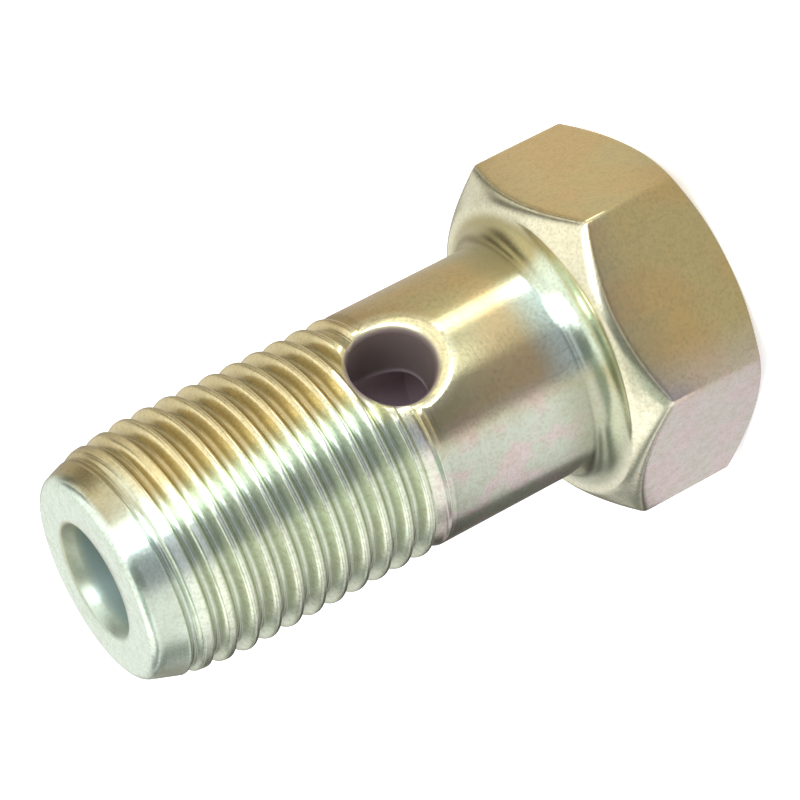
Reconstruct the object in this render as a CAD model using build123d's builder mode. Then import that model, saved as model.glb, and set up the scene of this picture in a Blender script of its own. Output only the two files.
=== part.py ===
from build123d import *
import math
import os

# Banjo bolt: a hollow hexagon screw that holds a ring fitting and lets the fluid through.
# 9/16-18 UNF thread, 3/4 in hexagon, one cross drilling into a blind axial bore.
# It stands on its head: +Z runs from the top of the head to the threaded tip.

# hexagon head
across_flats = 19.0
head_height = 8.4
top_chamfer_d = 18.7       # circle left flat on top of the head
top_chamfer = 30.0         # slope of the chamfer on top, degrees
bearing_chamfer_d = 17.8   # circle left flat on the bearing side
bearing_chamfer = 35.0     # slope of the chamfer on the bearing side
underhead_fillet = 1.3

# shank
shank_length = 29.1        # bearing face to tip
shank_d = 14.0

# threaded length, plain at the diameter of its crests
thread_d = 14.2
thread_length = 18.5       # tip to where the crests begin to rise
rise_length = 0.6          # over which the crests rise from the shank
full_form = 5.6            # tip to the first full crest

# lead-in at the tip
face_d = 11.8
face_round = 0.55
lead_d = 13.4
lead_length = 2.3

# drillings
bore_d = 6.0
bore_past = 1.1            # full bore past the cross drilling
bore_mouth_d = 6.9
drill_point = 59.0         # half of the drill's point angle
port_d = 4.8
port_height = 10.6         # bearing face to the centre of the cross drilling
port_rim = 0.8             # chamfer round both mouths of the cross drilling

# how far cutting outlines reach past what they cut
margin = 1.0

# heights and radii that follow
bearing_z = head_height
tip_z = bearing_z + shank_length
thread_z = tip_z - thread_length
port_z = bearing_z + port_height
bore_end_z = port_z - port_d / 2 - bore_past
shank_r = shank_d / 2
crest_r = thread_d / 2
blank_r = across_flats / 2 / math.cos(math.radians(30)) + margin
top_slope = math.tan(math.radians(top_chamfer)) * (blank_r - top_chamfer_d / 2)
bearing_slope = math.tan(math.radians(bearing_chamfer)) * (blank_r - bearing_chamfer_d / 2)
bore_point = bore_d / 2 / math.tan(math.radians(drill_point))
mouth_depth = (bore_mouth_d - bore_d) / 2

# the cross drilling as a plug: a chamfered hole in a plain bar, turned inside out
bar_length = port_d + 2 * (port_rim + margin)

with BuildPart() as drilled_bar:
    with Locations((0, 0, port_z)):
        Cylinder(crest_r, bar_length)
        Cylinder(port_d / 2, thread_d + 2 * margin, rotation=(90, 0, 0), mode=Mode.SUBTRACT)
    chamfer(edges().filter_by(GeomType.BSPLINE), port_rim)

with BuildPart() as port:
    with Locations((0, 0, port_z)):
        Cylinder(crest_r, bar_length)
    add(drilled_bar.part, mode=Mode.SUBTRACT)

with BuildPart() as banjo_bolt:
    # head: hexagon with a corner over the drilling, turned to its chamfers
    with BuildSketch(Plane.XY):
        RegularPolygon(across_flats / 2, 6, major_radius=False, rotation=30)
    extrude(amount=head_height)
    with BuildSketch(Plane.XZ):
        with BuildLine():
            Polyline(
                (0, 0),
                (top_chamfer_d / 2, 0),
                (blank_r, top_slope),
                (blank_r, bearing_z - bearing_slope),
                (bearing_chamfer_d / 2, bearing_z),
                (0, bearing_z),
                close=True,
            )
        make_face()
    revolve(axis=Axis.Z, mode=Mode.INTERSECT)

    # shank and threaded length, turned in one
    with BuildSketch(Plane.XZ):
        with BuildLine():
            Polyline(
                (0, bearing_z / 2),
                (shank_r, bearing_z / 2),
                (shank_r, thread_z),
                (crest_r, thread_z + rise_length),
                (crest_r, tip_z - full_form),
                (lead_d / 2, tip_z - lead_length),
                (face_d / 2, tip_z),
                (0, tip_z),
                close=True,
            )
        make_face()
        fillet(vertices().group_by(Axis.Y)[-1].sort_by(Axis.X)[-1], face_round)
    revolve(axis=Axis.Z)
    bearing_edges = edges().filter_by(GeomType.CIRCLE).filter_by_position(Axis.Z, bearing_z, bearing_z)
    fillet(bearing_edges.sort_by(SortBy.RADIUS)[0], underhead_fillet)

    # axial bore with a countersunk mouth and the drill's point at its end
    with BuildSketch(Plane.XZ):
        with BuildLine():
            Polyline(
                (0, tip_z + margin),
                (bore_mouth_d / 2 + margin, tip_z + margin),
                (bore_d / 2, tip_z - mouth_depth),
                (bore_d / 2, bore_end_z),
                (0, bore_end_z - bore_point),
                close=True,
            )
        make_face()
    revolve(axis=Axis.Z, mode=Mode.SUBTRACT)
    add(port.part, mode=Mode.SUBTRACT)

banjo_bolt.part.label = "banjo_bolt"

os.makedirs("parts", exist_ok=True)
export_step(banjo_bolt.part, "parts/banjo_bolt.step")
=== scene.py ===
import math

import bpy
from mathutils import Matrix, Vector


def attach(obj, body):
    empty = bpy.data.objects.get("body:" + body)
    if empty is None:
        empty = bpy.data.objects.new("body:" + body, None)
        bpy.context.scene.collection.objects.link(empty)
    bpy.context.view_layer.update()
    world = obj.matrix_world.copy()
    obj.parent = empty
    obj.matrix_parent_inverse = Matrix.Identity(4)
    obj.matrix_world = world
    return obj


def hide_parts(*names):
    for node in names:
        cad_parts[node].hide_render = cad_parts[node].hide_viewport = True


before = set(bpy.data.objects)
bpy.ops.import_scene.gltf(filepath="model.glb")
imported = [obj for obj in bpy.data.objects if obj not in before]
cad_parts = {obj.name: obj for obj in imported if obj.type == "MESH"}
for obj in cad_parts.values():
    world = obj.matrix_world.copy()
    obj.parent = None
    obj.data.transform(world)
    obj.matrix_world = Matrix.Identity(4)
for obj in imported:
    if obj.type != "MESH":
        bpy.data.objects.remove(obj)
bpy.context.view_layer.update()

# The bolt is modelled in millimetres, standing on its head, and scaled to metres at the end.
MM = 0.001

# ---------------------------------------------------------------- sizes
ACROSS_FLATS = 19.0
HEAD_HEIGHT = 8.4
TOP_CIRCLE_R = 9.35
TOP_SLOPE = math.tan(math.radians(30))
BEARING_CIRCLE_R = 8.9
BEARING_SLOPE = math.tan(math.radians(35))
NECK_ROUND = 1.6         # a little more than the solid's

TIP_Z = 37.5
SHANK_R = 7.0

CREST_R = 7.1
THREAD_Z = TIP_Z - 18.5
RISE_LENGTH = 0.6
FULL_FORM_Z = TIP_Z - 5.6
LEAD_Z = TIP_Z - 2.3
LEAD_R = 6.7
FACE_R = 5.9
FACE_ROUND = 0.7         # a little more than the solid's

BORE_R = 3.0
BORE_MOUTH_R = 3.45
MOUTH_ROUND = 0.3
BORE_END_Z = 15.5
BORE_POINT = BORE_R / math.tan(math.radians(59))
PORT_R = 2.4
PORT_Z = 19.0
PORT_RIM = 0.8

# the 9/16-18 UNF groove, which the solid leaves plain
PITCH = 25.4 / 18
FLANK_SLOPE = math.tan(math.radians(30))
CREST_ROUND = 0.20       # rolled and plated, so both are full rounds
ROOT_ROUND = 0.27
CREST_FLAT = 2 * CREST_ROUND * FLANK_SLOPE
ROOT_FLAT = 2 * ROOT_ROUND * FLANK_SLOPE
GROOVE_DEPTH = (PITCH - CREST_FLAT - ROOT_FLAT) / 2 / FLANK_SLOPE
ROOT_R = CREST_R - GROOVE_DEPTH
GROOVE_Z = TIP_Z - 19.9
RUNOUT_LENGTH = 1.7

# ---------------------------------------------------------------- fineness and softness of the mesh
COLUMNS = 160            # round the shank and the thread
THREAD_BLEND = 0.12      # where the thread runs out
EDGE_ROUND = 0.20        # round both faces of the head and along its top chamfer
BEARING_EDGE_ROUND = 0.6 # where the bearing side's chamfer meets the flats
CORNER_ROUND = 0.30      # upright corners of the head
RIM_Z = TIP_Z - 0.75     # above here the tip is plain rings
RING_Z = THREAD_Z - 0.5  # below here the shank is plain rings
JOIN_R = 8.65            # ring on the bearing face where shank and head meet
SAME = 0.001             # places nearer than this are one


def soft_min(a, b, softness):
    """The smaller of two values, rounded over where they are close."""
    near = max(softness - abs(a - b), 0) / softness
    return min(a, b) - near * near * softness / 4


def soft_max(a, b, softness):
    return -soft_min(-a, -b, softness)


def deselect():
    """Leaves edit mode with nothing selected."""
    if bpy.context.object and bpy.context.object.mode != "OBJECT":
        bpy.ops.object.mode_set(mode="OBJECT")
    bpy.ops.object.select_all(action="DESELECT")


def take(piece):
    """Makes the piece the only selected one."""
    deselect()
    piece.select_set(True)
    bpy.context.view_layer.objects.active = piece


def edit(piece):
    """Opens the piece in edit mode with all of it selected."""
    take(piece)
    bpy.ops.object.mode_set(mode="EDIT")
    bpy.ops.mesh.select_mode(type="VERT")
    bpy.ops.mesh.select_all(action="SELECT")


def pick_rim(piece, wanted):
    """Selects the open edges of the piece, in edit mode, whose ends the test accepts."""
    bpy.ops.mesh.select_mode(type="EDGE")
    bpy.ops.mesh.select_all(action="DESELECT")
    bpy.ops.object.mode_set(mode="OBJECT")
    faces = {}
    for face in piece.data.polygons:
        for key in face.edge_keys:
            faces[key] = faces.get(key, 0) + 1
    points = piece.data.vertices
    for edge in piece.data.edges:
        if faces.get(edge.key, 0) < 2 and all(wanted(points[end].co) for end in edge.vertices):
            edge.select = True
            for end in edge.vertices:
                points[end].select = True
    bpy.ops.object.mode_set(mode="EDIT")


def reshape(piece, rule):
    """Moves each vertex of the piece to where the rule puts it."""
    deselect()
    for vertex in piece.data.vertices:
        vertex.co = rule(vertex.co)
    piece.data.update()


def across(place):
    """Distance of a place from the bolt's axis."""
    return math.hypot(place.x, place.y)


def at_radius(place, radius):
    """The place, moved straight out or in to a radius about the bolt's axis."""
    grow = radius / across(place)
    return Vector((place.x * grow, place.y * grow, place.z))


def turn_rings(start, outline):
    """Carries the selected rim from a start of (radius, height) through the rings of an outline."""
    radius, height = start
    for next_radius, next_height in outline:
        grow = next_radius / radius
        rise = {"value": (0, 0, next_height - height)}
        bpy.ops.mesh.extrude_edges_move(TRANSFORM_OT_translate=rise)
        bpy.ops.transform.resize(value=(grow, grow, 1), center_override=(0, 0, 0))
        radius, height = next_radius, next_height


def arc(centre, radius, first, last, steps):
    """Points of an arc in the outline's plane, without its first; angles in degrees from straight out."""
    turns = [math.radians(first + (last - first) * step / steps) for step in range(1, steps + 1)]
    return [(centre[0] + radius * math.cos(turn), centre[1] + radius * math.sin(turn)) for turn in turns]


# ---------------------------------------------------------------- thread, shank, tip and bore
def tooth():
    """One pitch of the thread as (radius, height), from root centre to root centre."""
    root = arc((ROOT_R + ROOT_ROUND, 0), ROOT_ROUND, 180, 120, 4)
    crest = arc((CREST_R - CREST_ROUND, PITCH / 2), CREST_ROUND, 0, -60, 4)
    crest.reverse()
    low, high = root[-1], crest[0]
    flank = [(low[0] + (high[0] - low[0]) * share, low[1] + (high[1] - low[1]) * share)
             for share in (0.25, 0.5, 0.75)]
    half = [(ROOT_R, 0)] + root + flank + crest
    return half + [(CREST_R, PITCH / 2)] + [(radius, PITCH - height) for radius, height in reversed(half)]


def blank_radius(height):
    """Radius of the turned blank at a height, before the thread is cut."""
    if height > LEAD_Z:
        return FACE_R + (LEAD_R - FACE_R) * (TIP_Z - height) / (TIP_Z - LEAD_Z)
    if height > FULL_FORM_Z:
        return LEAD_R + (CREST_R - LEAD_R) * (LEAD_Z - height) / (LEAD_Z - FULL_FORM_Z)
    rise = min(max((height - THREAD_Z) / RISE_LENGTH, 0), 1)
    return SHANK_R + (CREST_R - SHANK_R) * rise


def cut_thread(place):
    """Holds the winding inside the blank, and lets the groove run out on a cone."""
    runout = SHANK_R - (SHANK_R - ROOT_R) * (place.z - THREAD_Z) / RUNOUT_LENGTH
    radius = soft_max(across(place), runout, THREAD_BLEND)
    return at_radius(place, soft_min(radius, blank_radius(place.z), THREAD_BLEND))


def make_shaft():
    """All of the bolt above its head as one open mesh, whose rim lies on the bearing face."""
    outline = bpy.data.meshes.new("shaft")
    chain = [(radius, 0, GROOVE_Z - PITCH + height) for radius, height in tooth()]
    outline.from_pydata(chain, [(i, i + 1) for i in range(len(chain) - 1)], [])
    shaft = bpy.data.objects.new("shaft", outline)
    bpy.context.collection.objects.link(shaft)
    take(shaft)
    winding = shaft.modifiers.new("winding", "SCREW")
    winding.axis = "Z"
    winding.screw_offset = PITCH
    winding.iterations = math.ceil((TIP_Z - GROOVE_Z) / PITCH) + 1
    winding.steps = COLUMNS
    winding.render_steps = COLUMNS
    bpy.ops.object.modifier_apply(modifier="winding")
    edit(shaft)
    bpy.ops.mesh.remove_doubles(threshold=SAME)
    bpy.ops.mesh.select_all(action="SELECT")
    bpy.ops.mesh.bisect(plane_co=(0, 0, RING_Z), plane_no=(0, 0, 1), clear_inner=True)
    bpy.ops.mesh.select_all(action="SELECT")
    bpy.ops.mesh.bisect(plane_co=(0, 0, RIM_Z), plane_no=(0, 0, 1), clear_outer=True)
    reshape(shaft, cut_thread)

    # plain shank, neck and the inner part of the bearing face
    edit(shaft)
    pick_rim(shaft, lambda place: place.z < RING_Z + SAME)
    neck = (SHANK_R + NECK_ROUND, HEAD_HEIGHT + NECK_ROUND)
    down = [(SHANK_R, RING_Z - 0.3 * row) for row in range(1, 14)] + [(SHANK_R, 12.5), (SHANK_R, neck[1])]
    turn_rings((SHANK_R, RING_Z), down + arc(neck, NECK_ROUND, 180, 270, 14) + [(JOIN_R, HEAD_HEIGHT)])

    # rounded tip, face, countersunk mouth, bore and the drill's point
    pick_rim(shaft, lambda place: place.z > RIM_Z - SAME)
    lean = math.atan((LEAD_R - FACE_R) / (TIP_Z - LEAD_Z))
    reach = FACE_ROUND * math.tan((math.radians(90) - lean) / 2)
    rim = arc((FACE_R - reach, TIP_Z - FACE_ROUND), FACE_ROUND, math.degrees(lean), 90, 9)
    mouth = arc((BORE_MOUTH_R + MOUTH_ROUND / 2, TIP_Z - MOUTH_ROUND), MOUTH_ROUND, 90, 135, 4)
    bore = [(BORE_R + 0.1, TIP_Z - 0.55), (BORE_R, TIP_Z - 0.75)]
    bore += [(BORE_R, height) for height in (32, 27, 22, BORE_END_Z)]
    point = [(0.05, BORE_END_Z - BORE_POINT)]
    turn_rings((blank_radius(RIM_Z), RIM_Z), rim + [(4.6, TIP_Z)] + mouth + bore + point)
    bpy.ops.mesh.merge(type="CENTER")
    deselect()
    return shaft


# ---------------------------------------------------------------- hexagon head
def dress_head(place):
    """Turns the hexagon to its two chamfers and rounds the edges of both faces."""
    top = TOP_CIRCLE_R + place.z / TOP_SLOPE
    bearing = BEARING_CIRCLE_R + (HEAD_HEIGHT - place.z) / BEARING_SLOPE
    radius = soft_min(soft_min(across(place), top, EDGE_ROUND), bearing, BEARING_EDGE_ROUND)
    near = max(EDGE_ROUND - min(place.z, HEAD_HEIGHT - place.z), 0) / EDGE_ROUND
    return at_radius(place, radius - EDGE_ROUND / 2 * (1 - math.sqrt(max(1 - near * near, 0))))


def make_head():
    """The hexagon with rounded corners, open on its bearing side where the shaft joins."""
    deselect()
    corner_r = ACROSS_FLATS / 2 / math.cos(math.radians(30))
    bpy.ops.mesh.primitive_circle_add(vertices=6, radius=corner_r, location=(0, 0, 0))
    head = bpy.context.object
    edit(head)
    bpy.ops.mesh.bevel(offset=CORNER_ROUND * math.tan(math.radians(30)), segments=5, affect="VERTICES")
    bpy.ops.mesh.select_mode(type="EDGE")
    bpy.ops.mesh.select_all(action="DESELECT")
    bpy.ops.object.mode_set(mode="OBJECT")
    for edge in head.data.edges:
        ends = [head.data.vertices[i].co for i in edge.vertices]
        edge.select = (ends[0] - ends[1]).length > 2
    bpy.ops.object.mode_set(mode="EDIT")
    bpy.ops.mesh.subdivide(number_cuts=27)

    # rows close together over both chamfers, wide apart between them
    bpy.ops.mesh.select_mode(type="VERT")
    bpy.ops.mesh.select_all(action="SELECT")
    fine = [0.01, 0.04, 0.08, 0.13, 0.18] + [0.24 + 0.085 * row for row in range(18)]
    rows = fine + [2.4, 3.8, 5.2] + [HEAD_HEIGHT - height for height in reversed(fine)] + [HEAD_HEIGHT]
    turn_rings((1, 0), [(1, height) for height in rows])
    reshape(head, dress_head)
    edit(head)
    for wanted in (lambda place: place.z > HEAD_HEIGHT - SAME, lambda place: place.z < SAME):
        pick_rim(head, wanted)
        bpy.ops.mesh.extrude_edges_move()
        bpy.ops.transform.resize(value=(0.985, 0.985, 1), center_override=(0, 0, 0))
    bpy.ops.mesh.edge_face_add()
    deselect()
    return head


# ---------------------------------------------------------------- cross drilling
FLARE_START = 3.0        # half of the plug that keeps straight


def across_shank(place):
    """Turns the plug across the bolt and lets its flares follow the round of the shank."""
    sag = SHANK_R - math.sqrt(SHANK_R ** 2 - min(place.x ** 2, 36))
    share = min(max((abs(place.z) - FLARE_START) / (SHANK_R - FLARE_START), 0), 1)
    return Vector((place.x, math.copysign(abs(place.z) - sag * share, place.z), PORT_Z + place.y))


def make_port_plug():
    """The metal that the cross drilling takes away, flared where it breaks out of the shank."""
    deselect()
    bpy.ops.mesh.primitive_circle_add(vertices=112, radius=PORT_R, location=(0, 0, 0))
    plug = bpy.context.object
    steepest = math.radians(76)
    flare = []
    for step in range(11):
        turn = steepest * step / 10
        out = PORT_RIM * (1 - math.cos(turn)) / (1 - math.cos(steepest))
        deep = PORT_RIM * (1 - math.sin(turn) / math.sin(steepest))
        flare.append((PORT_R + out, SHANK_R - deep))
    slope = (flare[-1][1] - flare[-2][1]) / (flare[-1][0] - flare[-2][0])
    flare += [(flare[-1][0] + 0.6, flare[-1][1] + 0.6 * slope), (flare[-1][0] + 0.6, SHANK_R + 2)]
    half = [(PORT_R, FLARE_START)] + flare
    edit(plug)
    turn_rings((PORT_R, 0), half)
    bpy.ops.mesh.edge_face_add()
    pick_rim(plug, lambda place: abs(place.z) < SAME)
    turn_rings((PORT_R, 0), [(radius, -height) for radius, height in half])
    bpy.ops.mesh.edge_face_add()
    reshape(plug, across_shank)
    edit(plug)
    bpy.ops.mesh.normals_make_consistent(inside=False)
    deselect()
    return plug


def make_bolt():
    """One closed piece: shaft and head bridged on the bearing face, then drilled across."""
    bolt = make_shaft()
    head = make_head()
    take(bolt)
    head.select_set(True)
    bpy.ops.object.join()
    edit(bolt)
    pick_rim(bolt, lambda place: True)
    bpy.ops.mesh.bridge_edge_loops()
    bpy.ops.mesh.select_all(action="SELECT")
    bpy.ops.mesh.normals_make_consistent(inside=False)

    plug = make_port_plug()
    take(bolt)
    drill = bolt.modifiers.new("drill", "BOOLEAN")
    drill.operation = "DIFFERENCE"
    drill.solver = "EXACT"
    drill.object = plug
    bpy.ops.object.modifier_apply(modifier="drill")
    bpy.data.objects.remove(plug)
    edit(bolt)
    bpy.ops.mesh.remove_doubles(threshold=SAME)
    bpy.ops.mesh.select_all(action="SELECT")
    bpy.ops.mesh.normals_make_consistent(inside=False)
    bpy.ops.transform.resize(value=(MM, MM, MM), center_override=(0, 0, 0))
    take(bolt)
    bpy.ops.object.shade_smooth_by_angle(angle=math.radians(38))
    bolt.name = "bolt_body"
    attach(bolt, "root")
    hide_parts("banjo_bolt")
    return bolt


# ---------------------------------------------------------------- shader maths
class Value:
    """A node's output. Arithmetic on it adds Math nodes, and add() makes any other node."""

    def __init__(self, tree, socket=None):
        self.tree = tree
        self.socket = socket

    def add(self, kind, settings=None, inputs=None, output=0):
        """Adds a node with its settings and socket values or links; a ramp's stops are a setting."""
        node = self.tree.nodes.new(kind)
        for name, setting in (settings or {}).items():
            if name == "stops":
                ramp = node.color_ramp
                while len(ramp.elements) < len(setting):
                    ramp.elements.new(0.5)
                for element, (position, tint) in zip(ramp.elements, setting):
                    element.position = position
                    element.color = (*tint, 1)
            elif name == "interpolation":
                node.color_ramp.interpolation = setting
            else:
                setattr(node, name, setting)
        for name, value in (inputs or {}).items():
            if isinstance(value, Value):
                self.tree.links.new(value.socket, node.inputs[name])
            else:
                node.inputs[name].default_value = value
        return Value(self.tree, node.outputs[output])

    def maths(self, operation, first, second=0.0):
        return self.add("ShaderNodeMath", {"operation": operation}, {0: first, 1: second})

    def __add__(self, other):
        return self.maths("ADD", self, other)

    def __sub__(self, other):
        return self.maths("SUBTRACT", self, other)

    def __rsub__(self, other):
        return self.maths("SUBTRACT", other, self)

    def __mul__(self, other):
        return self.maths("MULTIPLY", self, other)

    def __truediv__(self, other):
        return self.maths("DIVIDE", self, other)

    __radd__ = __add__
    __rmul__ = __mul__

    def between(self, low, high):
        """0 below low, 1 above high, and a soft slope from one to the other."""
        return self.add("ShaderNodeMapRange", {"interpolation_type": "SMOOTHSTEP"},
                        {0: self, 1: low, 2: high, 3: 0.0, 4: 1.0})

    def split(self):
        """The x, y and z of a place or a direction."""
        return [self.add("ShaderNodeSeparateXYZ", {}, {0: self}, output) for output in range(3)]

    def larger(self, other):
        return self.maths("MAXIMUM", self, other)


def distance(a, b):
    """Length of the flat vector (a, b)."""
    return a.maths("SQRT", a * a + b * b)


def colour(red, green, blue):
    """A colour as it shows on screen, from 0 to 255, as the shader takes it."""
    return tuple((part / 255 / 12.92) if part < 10 else ((part / 255 + 0.055) / 1.055) ** 2.4
                 for part in (red, green, blue))


def mix(factor, first, second, blend="MIX"):
    """Two colours, mixed by a factor."""
    first = (*first, 1) if isinstance(first, tuple) else first
    second = (*second, 1) if isinstance(second, tuple) else second
    return factor.add("ShaderNodeMix", {"data_type": "RGBA", "blend_type": blend},
                      {0: factor, 6: first, 7: second}, output=2)


def new_material(name):
    material = bpy.data.materials.new(name)
    material.use_nodes = True
    return material, Value(material.node_tree), material.node_tree.nodes["Principled BSDF"]


def noise(place, scale, detail=2.0):
    return place.add("ShaderNodeTexNoise", {}, {"Vector": place, "Scale": scale, "Detail": detail,
                                               "Roughness": 0.55})


# ---------------------------------------------------------------- plated steel
GOLD = colour(206, 192, 142)
AMBER = colour(214, 186, 132)
# mint and pink: painted reflection colour on one side of the bolt
MINT = colour(208, 216, 198)
PINK = colour(222, 209, 204)
HEAD_PINK = colour(226, 208, 206)
THREAD_GOLD = colour(240, 225, 176)
# painted shade: darker gold on the thread's side towards SHADED_SIDE
THREAD_PAINTED_SHADE = colour(208, 188, 132)
THREAD_MINT = colour(236, 245, 220)
# painted shade in the thread's roots
ROOT_SHADE_OLIVE = colour(146, 126, 76)
ROOT_SHADE_GREEN = colour(170, 180, 160)
# painted shade in the corner under the head
NECK_SHADE_OLIVE = colour(172, 162, 116)
NECK_SHADE_GREEN = colour(176, 182, 156)
NECK_TEAL_REFLECTION = colour(220, 234, 212)
# painted highlights: paler cream on the bearing side and round the port
BEARING_HIGHLIGHT_CREAM = colour(228, 226, 200)
RIM_HIGHLIGHT_CREAM = colour(248, 238, 192)
TIP_MINT = colour(224, 238, 224)
# painted shade in the bore's mouth
MOUTH_SHADE_GREEN = colour(172, 188, 174)
SPECK_OLIVE = colour(176, 168, 126)
SPECK_BROWN = colour(150, 138, 104)
# painted shade inside the bore and the cross drilling
BORE_SHADE = colour(184, 163, 170)
PORT_WALL_SHADE = colour(116, 99, 97)
BORE_SHADE_GREEN = colour(132, 150, 142)

COOL_SIDE = 165          # azimuth where the painted reflection colour, mint and pink, is strongest
SHADED_SIDE = 10         # azimuth where the painted shade on the thread's gold is deepest
TEAL_SIDE = -108         # azimuth of the painted teal reflection at the neck


def plated_steel():
    """Yellow-chromated zinc: gold on one side, drifting to mint and pink on the other and at the tip, as
    painted reflection colour; shade and highlights are painted in too.
    """
    material, start, shader = new_material("yellow_zinc")
    place = start.add("ShaderNodeTexCoord", output=3)
    x, y, z = place.split()
    azimuth = x.maths("ARCTAN2", y, x)
    out = distance(x, y) / MM
    up = z / MM
    from_port = distance(x / MM, up - PORT_Z)

    def facing(degrees):
        """1 on the side of the bolt that faces an azimuth in degrees, 0 on the far side."""
        return x.maths("COSINE", azimuth - math.radians(degrees)) * 0.5 + 0.5

    drift = noise(place, 170.0)
    blotch = noise(place, 420.0)
    mottle = noise(place, 1500.0, 3.0)
    grain = noise(place, 5200.0)

    # gold to mint and pink round the bolt, a painted reflection colour by side
    threaded = up.between(THREAD_Z + 0.2, THREAD_Z + 1.4)
    on_head = 1 - up.between(HEAD_HEIGHT - 0.2, HEAD_HEIGHT + 0.8)
    painted_cool_side = (facing(COOL_SIDE) + threaded * 0.3 - on_head * 0.08).between(0.66, 0.82)
    warm_tone = mix(drift.between(0.36, 0.64), GOLD, AMBER)
    warm_tone = mix(threaded * 0.85, warm_tone, THREAD_GOLD)
    # painted shade: darker gold on the thread towards SHADED_SIDE
    warm_tone = mix(threaded * facing(SHADED_SIDE).between(0.55, 0.9) * 0.6, warm_tone, THREAD_PAINTED_SHADE)
    cool_tone = mix(blotch.between(0.44, 0.58), MINT, PINK)
    cool_tone = mix(on_head * 0.55, cool_tone, HEAD_PINK)
    cool_tone = mix(threaded * 0.9, cool_tone, THREAD_MINT)
    tone = mix(painted_cool_side, warm_tone, cool_tone)

    # painted shade, greener and darker, in the corner under the head, and a painted pale teal reflection on
    # its side towards TEAL_SIDE; painted highlights, paler, on its bearing side and round the port
    above_flats = up.between(HEAD_HEIGHT - 0.3, HEAD_HEIGHT - 0.1)
    corner = above_flats * (1 - up.between(9.8, 12.4)) * (1 - out.between(8.2, 8.8))
    tone = mix(corner * 0.9, tone, mix(painted_cool_side, NECK_SHADE_OLIVE, NECK_SHADE_GREEN))
    # painted reflection: pale teal on the neck towards TEAL_SIDE
    tone = mix(corner * facing(TEAL_SIDE).between(0.925, 0.975) * 0.9, tone, NECK_TEAL_REFLECTION)
    # painted highlight: paler cream over the bearing face and its chamfer
    beyond = (out - BEARING_CIRCLE_R).larger(0.0)
    bearing = (up + beyond * BEARING_SLOPE).between(HEAD_HEIGHT - 0.3, HEAD_HEIGHT - 0.1)
    bearing = bearing * (1 - up.between(9.0, 10.4)) * out.between(8.0, 8.8)
    tone = mix(bearing * 0.85, tone, BEARING_HIGHLIGHT_CREAM)
    # painted highlight: paler cream round the port's rim
    tone = mix((1 - from_port.between(3.1, 3.8)) * 0.85, tone, RIM_HIGHLIGHT_CREAM)

    # pale green towards the tip; painted shade, greyer, in the bore's mouth
    mouth = up.between(35.0, 35.8) * (1 - out.between(3.4, 3.7))
    tip = up.between(36.4, 37.4).larger(up.between(33.5, 36.6) * painted_cool_side) * (1 - mouth)
    lead = up.between(34.3, 35.3) * (1 - facing(SHADED_SIDE).between(0.4, 0.7)) * 0.7
    tone = mix(tip.larger((mouth * 0.2).larger(lead)), tone, TIP_MINT)
    tone = mix(mouth * 0.75, tone, MOUTH_SHADE_GREEN)

    # fine mottling everywhere; painted shade in the thread's roots, browner, and in the drillings, darker
    # inwards
    tone = mix(mottle.between(0.35, 0.75) * 0.2, tone, SPECK_OLIVE)
    tone = mix(grain.between(0.42, 0.72) * 0.22, tone, SPECK_BROWN)
    # painted shade in the thread's roots
    root = (1 - out.between(6.3, 6.9)) * out.between(6.0, 6.1)
    tone = mix(root * threaded * 0.52, tone, mix(painted_cool_side, ROOT_SHADE_OLIVE, ROOT_SHADE_GREEN))
    # painted shade inside the bore and cross drilling, darker inwards
    drilled = (1 - out.between(3.1, 3.4)).larger(1 - from_port.between(2.45, 2.75))
    hollow_shade = drilled * (1 - up.between(36.2, 37.1)) * up.between(10.5, 11.5)
    shade = mix(out.between(3.0, 3.4), BORE_SHADE, PORT_WALL_SHADE)
    shade = mix(up.between(28.0, 30.0), shade, BORE_SHADE_GREEN)
    tone = mix(hollow_shade * 0.96, tone, shade)

    roughness = 0.16 + mottle * 0.1 + threaded * 0.03 + hollow_shade * 0.3 + mouth * (1 - hollow_shade) * 0.15
    turning = noise(place.add("ShaderNodeMapping", {}, {0: place, "Scale": (30, 30, 9000)}), 1.0)
    relief = place.add("ShaderNodeBump", {}, {"Strength": 0.25, "Distance": 0.00002,
                                              "Height": grain * 0.6 + turning * 0.5 + mottle * 0.6})
    links = material.node_tree.links
    links.new(tone.socket, shader.inputs["Base Color"])
    links.new(roughness.socket, shader.inputs["Roughness"])
    links.new((0.96 - hollow_shade * 0.8).socket, shader.inputs["Metallic"])
    links.new(relief.socket, shader.inputs["Normal"])
    return material


# ---------------------------------------------------------------- floor, light tent, lamp and camera
FACING = math.radians(-117.24)   # azimuth that the camera looks from
TENT_STRENGTH = 4.0
FLOOR_LIFT = 0.45                # keeps the paper white where only the camera sees it

WARM, NEUTRAL, ROSE, TEAL = (1.0, 0.96, 0.86), (1.0, 1.0, 0.98), (1.0, 0.98, 1.0), (0.86, 1.0, 0.92)
COOL, DUSK = (0.94, 1.04, 1.2), (0.96, 0.98, 1.25)
WHITE = (1, 1, 1, 1)

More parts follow.
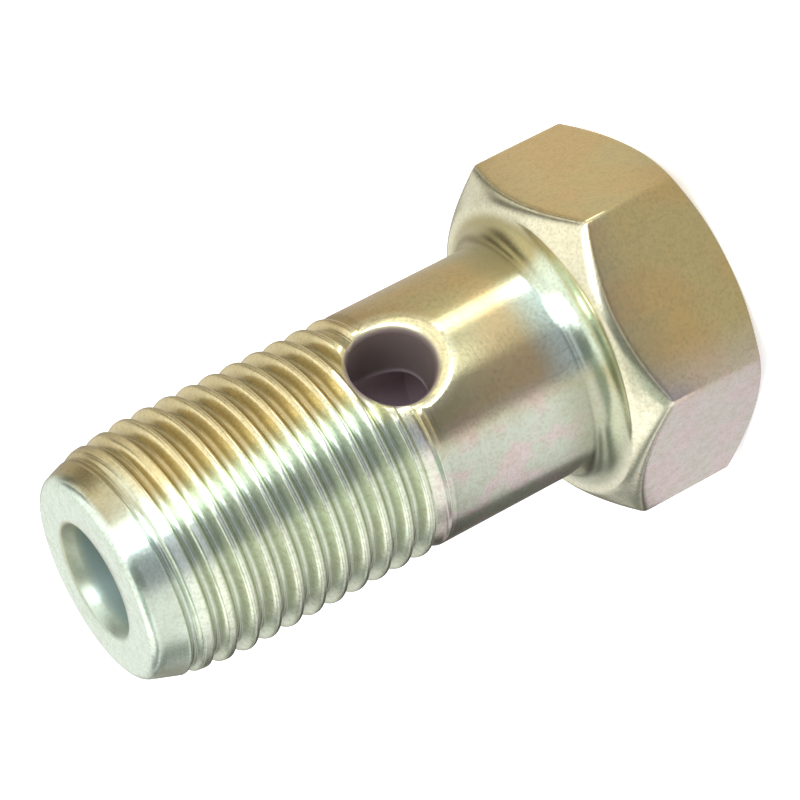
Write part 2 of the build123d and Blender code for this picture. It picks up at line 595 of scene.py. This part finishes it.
# light by azimuth; each panel is (degrees anticlockwise from the camera, colour, brightness)
FLOOR_AT_HEAD = [
    (-180, ROSE, 0.9), (-60, ROSE, 0.8), (-25, WARM, 0.62), (15, WARM, 0.62), (70, WARM, 0.8),
    (180, ROSE, 0.9)]
FLOOR_AT_SHANK = [
    (-180, WARM, 0.5), (-145, WARM, 0.14), (-121, WARM, 0.16), (-107, ROSE, 0.8), (-75, ROSE, 1.0),
    (-37, ROSE, 1.05), (-25, DUSK, 0.42), (4, DUSK, 0.42), (21, COOL, 0.62), (38, COOL, 1.05),
    (68, WARM, 0.8), (95, WARM, 0.66), (150, WARM, 0.62), (180, WARM, 0.5)]
FLOOR_STREAK = [(47, COOL, 0.0), (54, COOL, 3.2), (59, COOL, 3.2), (69, COOL, 0.0)]
FLOOR_AT_THREAD = [
    (-180, WARM, 0.4), (-145, WARM, 0.06), (-121, WARM, 0.08), (-107, ROSE, 0.5), (-75, ROSE, 0.74),
    (-37, ROSE, 0.95), (-27, DUSK, 0.14), (10, DUSK, 0.14), (13, COOL, 0.5), (17, COOL, 4.0),
    (29, COOL, 4.0), (36, COOL, 0.9), (68, WARM, 0.7), (90, WARM, 0.42), (150, WARM, 0.42), (180, WARM, 0.4)]
HORIZON = [
    (-180, WARM, 0.5), (-145, WARM, 0.4), (-120, ROSE, 0.75), (-75, ROSE, 1.35), (-37, ROSE, 1.3),
    (-27, DUSK, 0.62), (5, DUSK, 0.62), (14, COOL, 2.6), (38, COOL, 2.2), (55, WARM, 1.5), (95, WARM, 1.0),
    (125, WARM, 0.7), (150, WARM, 0.62), (180, WARM, 0.5)]
LOW_WALL = [
    (-180, NEUTRAL, 1.0), (-165, NEUTRAL, 0.9), (-148, TEAL, 0.18), (-105, TEAL, 0.25), (-88, ROSE, 1.2),
    (-42, ROSE, 1.2), (-27, TEAL, 0.16), (8, TEAL, 0.16), (15, COOL, 4.0), (30, COOL, 4.0),
    (38, NEUTRAL, 1.0), (78, NEUTRAL, 1.0), (90, WARM, 0.12), (128, WARM, 0.12), (150, NEUTRAL, 0.9),
    (180, NEUTRAL, 1.0)]
HIGH_WALL = [
    (-180, NEUTRAL, 1.0), (-165, NEUTRAL, 0.9), (-148, NEUTRAL, 0.5), (-122, ROSE, 0.9), (-88, ROSE, 1.3),
    (-42, ROSE, 1.3), (-27, DUSK, 0.7), (6, DUSK, 0.7), (14, COOL, 4.0), (30, COOL, 4.0),
    (40, NEUTRAL, 1.3), (78, WARM, 1.3), (100, WARM, 1.1), (128, WARM, 0.6), (150, NEUTRAL, 0.9),
    (180, NEUTRAL, 1.0)]
ROOF = [
    (-180, NEUTRAL, 1.0), (-150, NEUTRAL, 1.5), (-108, NEUTRAL, 1.6), (-92, TEAL, 0.6), (-45, TEAL, 0.6),
    (-27, TEAL, 0.16), (8, TEAL, 0.16), (15, COOL, 4.0), (30, COOL, 4.0), (42, NEUTRAL, 1.1),
    (85, NEUTRAL, 1.4), (130, NEUTRAL, 1.3), (160, NEUTRAL, 1.0), (180, NEUTRAL, 0.9)]
TOP = tuple(1.15 / TENT_STRENGTH * part for part in NEUTRAL)


def ring_of_light(x, y, panels):
    """The light of a list of panels, by azimuth."""
    azimuth = x.maths("ARCTAN2", y, x) - FACING
    turn = x.maths("FRACT", azimuth / math.tau + 1.5)   # 0.5 straight at the camera
    stops = [(0.5 + degrees / 360, tuple(part * brightness / TENT_STRENGTH for part in tint))
             for degrees, tint, brightness in panels]
    return turn.add("ShaderNodeValToRGB", {"stops": stops, "interpolation": "EASE"}, {0: turn})


def make_floor():
    """A pale paper floor; bright metal sees the tent's panels in it."""
    deselect()
    bpy.ops.mesh.primitive_circle_add(vertices=96, radius=2.0, fill_type="NGON", location=(0, 0, 0))
    floor = bpy.context.object
    floor.name = "floor"
    material, start, shader = new_material("paper")
    shader.inputs["Base Color"].default_value = (0.93, 0.93, 0.93, 1)
    shader.inputs["Roughness"].default_value = 0.9
    bare = Value(start.tree, shader.outputs[0])
    x, y, _ = start.add("ShaderNodeTexCoord", output=3).split()
    out = distance(x, y)
    past_head = out.between(0.020, 0.026)
    past_shank = out.between(0.044, 0.054)
    far_off = out.between(0.12, 0.24)
    seen = mix(past_head, ring_of_light(x, y, FLOOR_AT_HEAD), ring_of_light(x, y, FLOOR_AT_SHANK))
    seen = mix(past_head * (1 - past_shank), seen, ring_of_light(x, y, FLOOR_STREAK), "ADD")
    seen = mix(past_shank, seen, ring_of_light(x, y, FLOOR_AT_THREAD))
    seen = mix(far_off, seen, ring_of_light(x, y, HORIZON))
    glow = seen.add("ShaderNodeEmission", {}, {"Color": seen, "Strength": TENT_STRENGTH})
    lift = start.add("ShaderNodeEmission", {}, {"Color": WHITE, "Strength": FLOOR_LIFT})
    lifted = start.add("ShaderNodeAddShader", {}, {0: bare, 1: lift})
    is_camera = start.add("ShaderNodeLightPath", output=0)
    is_glossy = start.add("ShaderNodeLightPath", output=3)
    paper = start.add("ShaderNodeMixShader", {}, {0: is_camera, 1: bare, 2: lifted})
    both = start.add("ShaderNodeMixShader", {}, {0: is_glossy, 1: paper, 2: glow})
    output = material.node_tree.nodes["Material Output"]
    material.node_tree.links.new(both.socket, output.inputs["Surface"])
    floor.data.materials.append(material)


def make_tent():
    """The world: white to the camera, panels and a bright top to the metal."""
    world = bpy.data.worlds.new("tent")
    bpy.context.scene.world = world
    world.use_nodes = True
    start = Value(world.node_tree)
    x, y, z = start.add("ShaderNodeTexCoord", output=0).split()
    panels = mix(z.between(-0.02, 0.1), ring_of_light(x, y, HORIZON), ring_of_light(x, y, LOW_WALL))
    high = z.between(0.16, 0.23) * (1 - z.between(0.32, 0.38))
    panels = mix(high, panels, ring_of_light(x, y, HIGH_WALL))
    panels = mix(z.between(0.45, 0.7), panels, ring_of_light(x, y, ROOF))
    panels = mix(z.between(0.88, 0.98), panels, TOP)
    inside = panels.add("ShaderNodeBackground", {}, {"Color": panels, "Strength": TENT_STRENGTH})
    outside = start.add("ShaderNodeBackground", {}, {"Color": WHITE, "Strength": 1.0})
    is_camera = start.add("ShaderNodeLightPath", output=0)
    both = start.add("ShaderNodeMixShader", {}, {0: is_camera, 1: inside, 2: outside})
    output = world.node_tree.nodes["World Output"]
    world.node_tree.links.new(both.socket, output.inputs["Surface"])


def outwards(azimuth, elevation):
    """The direction of an azimuth and an elevation in radians."""
    level = math.cos(elevation)
    return Vector((math.cos(azimuth) * level, math.sin(azimuth) * level, math.sin(elevation)))


def add_lamp(name, azimuth, elevation, reach, size, watts):
    """A soft rectangular lamp that looks at the bolt; angles in degrees, lengths in metres."""
    data = bpy.data.lights.new(name, "AREA")
    data.shape = "RECTANGLE"
    data.size, data.size_y = size
    data.energy = watts
    lamp = bpy.data.objects.new(name, data)
    bpy.context.collection.objects.link(lamp)
    out = outwards(math.radians(azimuth), math.radians(elevation))
    middle = Vector((0, 0, 0.02))
    lamp.matrix_world = (Matrix.Translation(middle + out * reach)
                         @ out.to_track_quat("Z", "Y").to_matrix().to_4x4())
    lamp.visible_camera = False


def set_camera():
    """Looks along the bolt from beyond its tip, turned so that the tip is at the lower left."""
    roll = math.radians(117.39)
    aim = Vector((-1.15, -4.61, 19.04)) * MM
    reach = 186.0 * MM
    out = outwards(FACING, math.radians(21.95))
    data = bpy.data.cameras.new("camera")
    data.sensor_width = 36
    data.lens = 155.5
    data.clip_start = 0.01
    camera = bpy.data.objects.new("camera", data)
    bpy.context.collection.objects.link(camera)
    upright = out.to_track_quat("Z", "Y").to_matrix().to_4x4()
    camera.matrix_world = Matrix.Translation(aim + out * reach) @ upright @ Matrix.Rotation(-roll, 4, "Z")
    bpy.context.scene.camera = camera
    bpy.context.scene.view_settings.view_transform = "Standard"


bolt = make_bolt()
bolt.data.materials.clear()
bolt.data.materials.append(plated_steel())
make_floor()
make_tent()
add_lamp("key", azimuth=-96, elevation=33, reach=0.34, size=(0.10, 0.36), watts=0.3)
set_camera()
